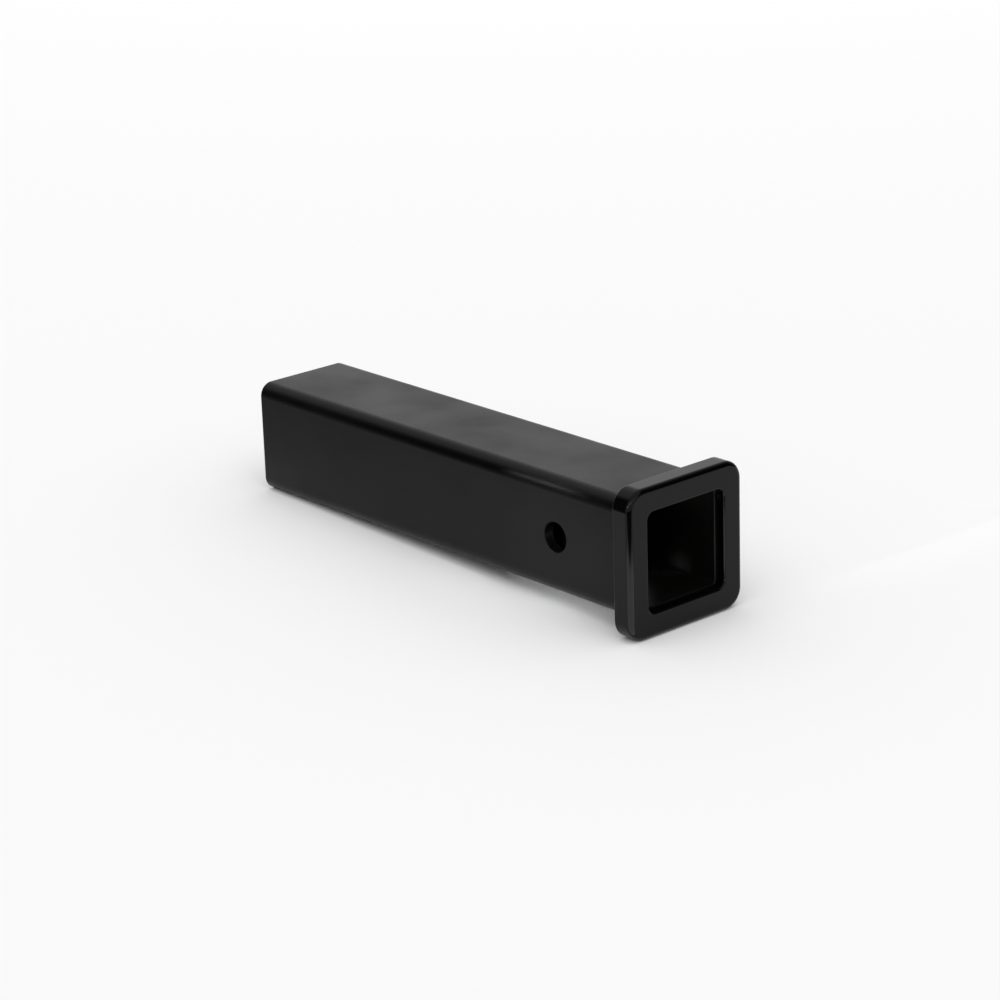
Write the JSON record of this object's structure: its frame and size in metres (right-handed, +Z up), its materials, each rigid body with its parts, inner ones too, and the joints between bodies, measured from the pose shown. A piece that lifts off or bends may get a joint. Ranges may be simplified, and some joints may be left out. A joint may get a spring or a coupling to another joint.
{
  "type": "receiver tube",
  "caption": "Square steel hitch receiver tube with a cross-drilled pin hole and a thick reinforcing collar welded round its mouth.",
  "frame": {"origin": "middle of the pin hole, on the tube's own axis", "axes": "+X along the tube towards the collared mouth, +Y along the pin hole, +Z up"},
  "size_m": [0.3104, 0.0808, 0.0808],
  "materials": {
    "tube_finish": "gloss black powder coat",
    "collar_finish": "gloss black powder coat",
    "weld_finish": "gloss black powder coat over a rippled weld"
  },
  "bodies": {
    "root": {"receiver_tube": "tube_finish", "collar": "collar_finish", "collar_weld": "weld_finish"}
  },
  "joints": []
}
